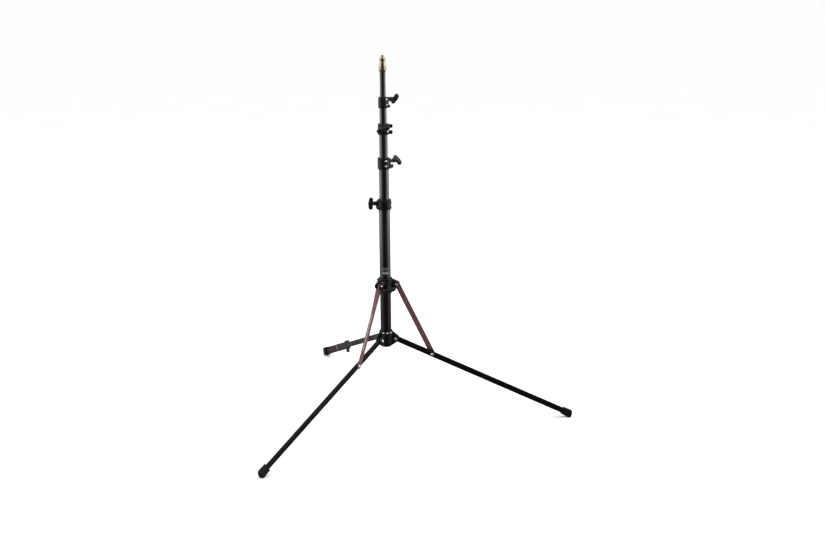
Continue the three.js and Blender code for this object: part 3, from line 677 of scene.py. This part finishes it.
# ------------------------------------------------------------------ hub and slider
def build_hub():
    """Lower casting with three pairs of cheeks, its screws and the plug under it."""
    z0, z1 = bottom_of("lower_hub"), top_of("lower_hub")
    bore = TUBE_RADII[0] + GAP
    outer = bore + HUB_WALL
    shell = lathe(rounded([
        (2, z0, 0), (outer - 1.5, z0), (outer, z0 + 3, 1.4), (outer, z1 - 11.5, 0.8),
        (outer - 0.9, z1 - 10.6, 0.5), (outer - 0.9, z1 - 9.8, 0.5), (outer, z1 - 9.0, 0.6),
        (outer, z1 - 2), (outer - 1.4, z1), (2, z1, 0),
    ], 0.9), 112)
    ear = [(12, z0 + 3, 0), (20, z0 + 3, 3)]
    ear += [(p.x, p.y, 0) for p in arc(LEG_PIVOT.x, LEG_PIVOT.y, 9.2, -75, 70, 18)]
    ear += [(20, z1 - 5, 3), (12, z1 - 5, 0)]
    solids, cutters = [shell], [rod(bore + 0.1, z0 - 1, z1 + 1, 0, 96)]
    y0, y1 = CHEEK_FACES
    for azimuth in LEG_AZIMUTHS.values():
        spin = turn(azimuth, "Z")
        for start, end in ((y0, y1), (-y1, -y0)):
            solids.append(moved(plate(rounded(ear, 0), start, end, 0.7), spin))
            face = start if start < 0 else end
            washer = sorted((face - math.copysign(1, face), face + math.copysign(0.45, face)))
            solids.append(moved(rod_y(6.3, *washer, LEG_PIVOT.x, LEG_PIVOT.y, 0.15), spin))
        cutters.append(moved(rod_y(3.4, -12, 12, LEG_PIVOT.x, LEG_PIVOT.y), spin))
    shown = cast(solids, cutters, voxel=0.5, soften=4, keep=0.35)
    stand_in("lower_hub", shown, COLUMN, "casting", "base")
    height = (bottom_of("hub_screw") + top_of("hub_screw")) / 2
    for name, azimuth in HUB_SCREWS.items():
        place = around(azimuth, height) @ shift(outer + 0.3) @ Z_TO_X
        if name == "hub_screw":
            stand_in(name, dome_screw(2.8, 1.9), place, "chrome", "base")
        else:
            piece(name, dome_screw(2.8, 1.9), place, "chrome", "base")
    inside = TUBE_RADII[0] - TUBE_WALL - GAP
    plug0 = bottom_of("hub_plug")
    plug = rounded([
        (0, plug0 + 1.2, 0), (4, plug0 + 1.2, 0.3), (4.6, plug0, 0.4), (9, plug0, 1.5),
        (14.5, z0 - 2.2, 1.5), (16.5, z0 - GAP, 0.3), (inside, z0 - GAP, 0.1),
        (inside, z0 + 11, 0.3), (inside - 1.5, z0 + 11, 0.3), (inside - 1.5, z0 + 2, 0.3),
        (0, z0 + 2, 0),
    ], 0.5)
    stand_in("hub_plug", lathe(plug, 96), COLUMN, "bush", "base")


def build_slider():
    """Sliding casting with a bracket for each brace, its screws and its knob."""
    z0, z1 = bottom_of("slider_collar"), top_of("slider_collar")
    azimuth, tilt = SLIDER_KNOB["azimuth"], SLIDER_KNOB["tilt"]
    knob_height = SLIDER_KNOB["height"]
    bore = TUBE_RADII[0] + SLIDER_BUSH
    outer = bore + SLIDER_WALL
    shell = lathe(rounded([
        (2, z0, 0), (outer - 1.2, z0), (outer, z0 + 2), (outer, z1 - 8.2, 0.6),
        (outer - 1.1, z1 - 7.4, 0.5), (outer - 1.1, z1 - 6.4, 0.5), (outer, z1 - 5.6, 0.6),
        (outer, z1 - 2.5), (outer - 2, z1), (2, z1, 0),
    ], 1.2), 112)
    x, z = BRACE_TOP
    lug = [(8, z - 14, 0), (22, z - 14, 4)]
    lug += [(p.x, p.y, 0) for p in arc(x, z, 7.5, -60, 80, 16)] + [(20, z + 13, 4), (8, z + 13, 0)]
    solids = [shell]
    cutters = [rod(bore + 0.1, z0 - 1, z1 + 1, 0, 96)]
    y0, y1 = LUG_FACES
    for side, leg_azimuth in LEG_AZIMUTHS.items():
        spin = turn(leg_azimuth - azimuth, "Z")
        knuckle_end = 26.5 if side == "levelling" else 32.5
        solids.append(moved(plate(rounded(lug, 0), y0, y1, 0.7), spin))
        solids.append(moved(block(0, knuckle_end, -7.5, 3.4, z - 12, z + 11, 2.2), spin))
        solids.append(moved(rod_y(5.4, y1 - 1, y1 + 0.4, x, z, 0.15), spin))
        if side != "levelling":
            free0, free1 = -CHEEK_FACES[1], -CHEEK_FACES[0]
            solids.append(moved(plate(rounded(lug, 0), free0, free1, 0.7), spin))
            head = headed_pin(2, 4.0, 0.2, 2, (0, 1.8))
            place = around(leg_azimuth) @ shift(x, free0 + 2, z) @ turn(90, "X")
            look = "chrome" if side == "right" else "steel"
            piece(f"{side}_lug_screw", head, place, look, "slider")
        cutters.append(moved(rod_y(2.9, y0 - 1, y1 + 2, x, z), spin))
    solids.append(block(0, outer + 2.5, -7, 7, z0 + 2, z0 + 28, 1.8))
    solids.append(rod_x(BOSS_RADIUS, 0, outer + BOSS_REACH, 0, knob_height, 0.9))
    cutters.append(rod_x(SCREW_HOLE, bore - 1, outer + 12, 0, knob_height))
    shown = cast(solids, cutters, voxel=0.5, soften=4, keep=0.35)
    stand_in("slider_collar", shown, around(azimuth), "casting", "slider")
    for number, rise in ((1, -9.5), (2, 7.5)):
        place = around(azimuth - 39, z + rise) @ shift(outer + 0.1) @ Z_TO_X
        piece(f"slider_screw_{number}", dome_screw(2.7, 1.7), place, "chrome", "slider")
    build_t_knob("slider", around(azimuth, knob_height), outer, tilt, SLIDER_KNOB["out"])


# ------------------------------------------------------------------ legs
def bar_outline(half_height, length, round_far_end):
    """Side view of a flat bar from its pivot, round at the pivot."""
    outline = arc(0, 0, half_height, 90, 270, 20)
    if round_far_end:
        return outline + arc(length, 0, half_height, -90, 90, 20)
    return outline + [Vector((length, -half_height)), Vector((length, half_height))]


def below_floor():
    """The space under the floor, in a leg's own tilted frame."""
    slab = block(-700, 700, -60, 60, -200, 0)
    return moved(slab, turn(-LEG_TILT, "Y") @ move(-LEG_PIVOT.x, 0, -LEG_PIVOT.y))


def build_boot(node, place, body, half_height, half_thick, socket):
    """Rubber boot over a leg's end: swollen nose, lip at the mouth, three grooves."""
    mouth, nose = LEG_LENGTH - BOOT_BACK, LEG_LENGTH + BOOT_NOSE
    outline = rounded([
        (mouth, -half_height + 0.1, 0.6), (mouth + 3.5, -half_height + 0.1, 0.4),
        (mouth + 4.3, -half_height + 0.7, 0.4), (nose - 1.5, -half_height - 1.2, 2.5),
        (nose, -half_height + 1.5, 2.5), (nose, half_height - 6, 4),
        (nose - 4, half_height + 0.2, 6), (mouth + 4.3, half_height - 0.7, 0.4),
        (mouth + 3.5, half_height, 0.4), (mouth, half_height, 0.6),
    ], 1.0, 6)
    shell = plate(outline, -half_thick, half_thick, 1.8)
    y0, y1, bore_height, bore_end = socket
    cutters = [block(mouth - 1, bore_end, y0, y1, -bore_height, bore_height), below_floor()]
    for start in BOOT_GROOVES:
        # The rim's cutter is a little narrower, because the boolean fails on shared faces.
        x0, x1 = mouth + start, mouth + start + GROOVE_WIDTH
        for sign in (-1, 1):
            side = sorted((sign * (half_thick - 0.6), sign * 30))
            rim = sorted((sign * (half_height - 0.5), sign * 30))
            cutters.append(block(x0, x1, *side, -30, 30))
            cutters.append(block(x0 + 0.05, x1 - 0.05, -30, 30, *rim))
    shown = cast([shell], cutters, voxel=0.45, soften=3, keep=0.4)
    stand_in(node, shown, place, "rubber", body)


def build_leg(side):
    """One leg with its brace, its pins and its foot or levelling sleeve."""
    levelling = side == "levelling"
    body, brace_body = f"{side}_leg", f"{side}_brace"
    place, along = leg_place(side), brace_place(side)
    half_height, half_thick, corner = INNER_LEG_SECTION if levelling else LEG_SECTION
    length = LEG_LENGTH - (24 if levelling else 6)
    outline = plate(bar_outline(half_height, length, False), -half_thick, half_thick, 0)
    tube = soft_bar(half_height, half_thick, corner, -half_height - 1, length + 1)
    look = "inner_leg" if levelling else "leg"
    stand_in(f"{side}_leg", carve([outline], common=[tube]), place, look, body)

    face = CHEEK_FACES[1] + 0.45
    hub_pin = headed_pin(3, 4.4, -face, face, (1.9, 1.9))
    stand_in(f"{side}_leg_pin", hub_pin, spoke(side, LEG_PIVOT) @ Z_TO_Y, "chrome", "base")
    leg_rivet = headed_pin(2.5, 4.2, -half_thick - GAP, half_thick, (2, 0))
    stand_in(f"{side}_leg_rivet", leg_rivet, place @ shift(BRACE_ON_LEG) @ Z_TO_Y, "chrome", body)

    y0, y1 = BRACE_FACES
    strap = plate(bar_outline(BRACE_HALF_WIDTH, BRACE_LENGTH, True), y0, y1, 0.55)
    flutes = [block(16, BRACE_LENGTH - 16, y - 1, y + 1, -1.9, 1.9, 0.9)
              for y in (y0 - 0.45, y1 + 0.45)]
    stand_in(f"{side}_brace", carve([strap], flutes), along, "red", brace_body, sharp=32)
    cap = headed_pin(2.4, 4.3, y0 + 0.2, y1, (0, 1.8))
    piece(f"{side}_brace_cap", cap, along @ shift(BRACE_LENGTH) @ Z_TO_Y, "chrome", brace_body)
    pin = headed_pin(2.5, 4.2, y0, LUG_FACES[1] + 0.4, (0, 1.9))
    stand_in(f"{side}_brace_pin", pin, spoke(side, BRACE_TOP) @ Z_TO_Y, "chrome", "slider")
    if levelling:
        build_levelling_sleeve(place)
    else:
        socket = (-half_thick - GAP, half_thick + GAP, half_height + GAP, LEG_LENGTH - 5.7)
        build_boot(f"{side}_foot", place, body, *BOOT_SECTION, socket)


def build_levelling_sleeve(place):
    """Sleeve on the inner leg with its plain marks, its clamp and knob, and its boot."""
    body = "levelling_sleeve"
    half_height = SLEEVE_HALF_HEIGHT
    free_face, brace_face = SLEEVE_FACES
    start, end = SLEEVE_START, LEG_LENGTH - SLEEVE_END_GAP

    def bore(x1):
        bore_thick, bore_height = SLEEVE_BORE
        return block(300, x1, -bore_thick, bore_thick, -bore_height, bore_height)

    middle, half_thick = (brace_face + free_face) / 2, (brace_face - free_face) / 2
    sleeve = soft_bar(half_height, half_thick, 2, start, end, middle)
    stand_in("levelling_sleeve", carve([sleeve], [bore(end + 1)]), place, "sleeve", body)
    marks = (("levelling_tick", "paint", 403.5, 405, -5, 5),
             ("levelling_tick_top", "paint", 401.5, 407, 5, 6),
             ("levelling_tick_foot", "paint", 401.5, 407, -6, -5),
             ("levelling_line_upper", "red_paint", 432, 490, 1.6, 2.8),
             ("levelling_line_lower", "red_paint", 432, 490, -3.6, -2.4))
    for name, look, x0, x1, z0, z1 in marks:
        mark = block(x0, x1, brace_face - 0.2, brace_face + 0.07, z0, z1, 0.03)
        piece(name, mark, place, look, body)

    clamp_end = start - GAP
    outline = rounded([
        (305, -10.5), (307, -12.5), (clamp_end, -12.5), (clamp_end, 12),
        (LEVEL_KNOB_AT + 5, 14.5), (LEVEL_KNOB_AT - 3, 14.5), (305, 11),
    ], 1.6)
    solids = [plate(outline, free_face - 0.8, brace_face, 0.8),
              rod_y(3.2, free_face - 1.6, brace_face, LEVEL_KNOB_AT + 1, 11.2, 0.5)]
    cutters = [bore(end), moved(rod(SCREW_HOLE, -20, 0), move(LEVEL_KNOB_AT)),
               block(302, 318, -0.8, 0.8, 0, 20)]
    shown = cast(solids, cutters, voxel=0.4, soften=4, keep=0.4)
    stand_in("levelling_clamp", shown, place, "clamp", body)

    knob = lathe(rounded([
        (0, -22.5, 0), (1.6, -22.5, 0.2), (2.0, -22.0, 0.2), (3.8, -22.5, 0.5), (5, -21.3, 0.8),
        (5, -13.8, 0.8), (4.2, -12.8, 0.3), (2.9, -12.8, 0.1), (2.9, -19, 0.1), (0, -19, 0),
    ], 0.4), 72)
    flutes = [moved(rod(0.9, -21, -12.3, 0, 16), turn(30 * k, "Z") @ move(5.45))
              for k in range(12)]
    stand_in("levelling_knob", carve([knob], flutes), place @ shift(LEVEL_KNOB_AT), "knob",
             "levelling_knob")
    keep_shape("levelling_knob_screw")

    socket = (free_face - GAP, brace_face + GAP, half_height + GAP, end + GAP)
    build_boot("levelling_foot", place, body, *LEVEL_BOOT_SECTION, socket)


def build_brace_line():
    """Plain pale line on the left brace, in place of its lettering."""
    y1 = BRACE_FACES[1]
    line = block(78, 182, y1 - 0.3, y1 + 0.07, 3.4, 5.0, 0.03)
    piece("left_brace_line", line, brace_place("left"), "paint", "left_brace")


build_tubes()
build_label()
for k, collar in enumerate(COLLARS):
    build_collar(k, **collar)
build_spigot()
build_hub()
build_slider()
for side in LEG_AZIMUTHS:
    build_leg(side)
build_brace_line()
for number in range(1, len(TUBE_RADII)):
    keep_shape(f"riser_{number}_guide")
    keep_shape(f"collar_{number}_bush")
keep_shape("slider_bush")


# ------------------------------------------------------------------ camera
FACING = -22.53                      # the photograph's direction about the column
CAMERA_PLACE = (0, -2.840, 1.208)    # metres
CAMERA_PAN, CAMERA_DIP, CAMERA_ROLL = -1.516, 15.85, -0.371
camera_data = bpy.data.cameras.new("camera")
camera_data.sensor_width = 36
camera_data.lens = 46.65
camera = bpy.data.objects.new("camera", camera_data)
bpy.context.scene.collection.objects.link(camera)
photo_frame = COLUMN @ turn(FACING, "Z")
aim = turn(CAMERA_PAN, "Z") @ turn(90 - CAMERA_DIP, "X") @ turn(CAMERA_ROLL, "Z")
camera.matrix_world = photo_frame @ Matrix.Translation(CAMERA_PLACE) @ aim
bpy.context.scene.camera = camera


# ------------------------------------------------------------------ studio
ROOM_LIGHT = 1.45
CAMERA_SIDE_LIGHT = 0.06
SIDE_WALL_LIGHT = 1.3
FAR_SIDE_SHARE = 0.12
BELOW_LIGHT = 0.15
FLOOR_RADIUS = 70                    # metres, so that its edge is out of sight
FLOOR_DROP = 0.0004                  # metres, so that it stays clear of the soles


def build_floor():
    """White sweep just under the feet."""
    shader = Shader("studio_floor")
    coordinates = shader.node("ShaderNodeTexCoord").outputs["Object"]
    tone = shader.ramp(shader.noise(coordinates, (3.0,) * 3), 0.3, 0.7)
    colour = shader.mix(tone, (0.90, 0.90, 0.90, 1), (0.92, 0.92, 0.92, 1))
    shader.feed(shader.principled.inputs["Base Color"], colour)
    shader.principled.inputs["Roughness"].default_value = 0.9
    shader.principled.inputs["Specular IOR Level"].default_value = 0.1
    bm = bmesh.new()
    bmesh.ops.create_circle(bm, cap_ends=True, segments=96, radius=FLOOR_RADIUS)
    mesh = bpy.data.meshes.new("studio_floor")
    bm.to_mesh(mesh)
    bm.free()
    mesh.materials.append(shader.material)
    floor = bpy.data.objects.new("studio_floor", mesh)
    floor.location.z = -FLOOR_DROP
    floor.visible_glossy = False        # the stand's gloss shows the room, not the white sweep
    bpy.context.scene.collection.objects.link(floor)


def build_world():
    """White room, darker below, behind and on the photograph's side, for dark-centred tubes."""
    world = bpy.data.worlds.new("studio")
    bpy.context.scene.world = world
    world.use_nodes = True
    tree = world.node_tree
    tree.nodes.clear()

    def add(kind, **settings):
        made = tree.nodes.new(kind)
        for key, value in settings.items():
            setattr(made, key, value)
        return made

    direction = add("ShaderNodeTexCoord").outputs["Generated"]

    def along(axis):
        """How far each direction leans towards an axis of the photograph's frame."""
        dot = add("ShaderNodeVectorMath", operation="DOT_PRODUCT")
        dot.inputs[1].default_value = turn(FACING, "Z").to_3x3() @ Vector(axis).normalized()
        tree.links.new(direction, dot.inputs[0])
        return dot.outputs["Value"]

    def fade(value, start, end, first, last):
        made = add("ShaderNodeMapRange", interpolation_type="SMOOTHSTEP")
        limits = {"From Min": start, "From Max": end, "To Min": first, "To Max": last}
        for key, number in limits.items():
            made.inputs[key].default_value = number
        tree.links.new(value, made.inputs["Value"])
        return made.outputs["Result"]

    def combined(operation, *values):
        made = add("ShaderNodeMath", operation=operation)
        for index, value in enumerate(values):
            tree.links.new(value, made.inputs[index])
        return made.outputs[0]

    toward_camera = along((0.05, -0.98, 0.12))
    near = fade(toward_camera, 0.25, 0.92, ROOM_LIGHT, CAMERA_SIDE_LIGHT)
    room = combined("MULTIPLY", near, fade(toward_camera, -0.62, -0.36, FAR_SIDE_SHARE, 1))
    side_walls = fade(combined("ABSOLUTE", along((1, 0, 0))), 0.72, 0.9, 0, SIDE_WALL_LIGHT)
    below = fade(along((0, 0, 1)), -0.34, -0.16, BELOW_LIGHT, 1)
    strength = combined("MULTIPLY", combined("ADD", room, side_walls), below)
    lighting = add("ShaderNodeBackground")
    lighting.inputs["Color"].default_value = (1, 1, 1, 1)
    tree.links.new(strength, lighting.inputs["Strength"])
    backdrop = add("ShaderNodeBackground")
    backdrop.inputs["Color"].default_value = (1, 1, 1, 1)
    seen = add("ShaderNodeLightPath").outputs["Is Camera Ray"]
    mix = add("ShaderNodeMixShader")
    tree.links.new(seen, mix.inputs[0])
    tree.links.new(lighting.outputs[0], mix.inputs[1])
    tree.links.new(backdrop.outputs[0], mix.inputs[2])
    tree.links.new(mix.outputs[0], add("ShaderNodeOutputWorld").inputs["Surface"])


def softbox(name, position, size, power):
    """Area light in the photograph's frame, aimed at the middle of the stand."""
    data = bpy.data.lights.new(name, "AREA")
    data.shape = "RECTANGLE"
    data.size, data.size_y = size
    data.energy = power
    light = bpy.data.objects.new(name, data)
    bpy.context.scene.collection.objects.link(light)
    place = photo_frame @ Vector(position)
    aim = photo_frame @ Vector((0, 0, 0.4)) - place
    facing = aim.to_track_quat("-Z", "Y").to_matrix().to_4x4()
    light.matrix_world = Matrix.Translation(place) @ facing


build_floor()
build_world()
softbox("overhead", (0.2, 0.3, 2.9), (2.2, 2.2), 30)
softbox("left_side", (-2.4, 0.1, 1.0), (0.9, 2.0), 14)
softbox("right_side", (2.4, 0.0, 1.1), (0.9, 2.0), 14)
bpy.context.scene.view_settings.view_transform = "Standard"
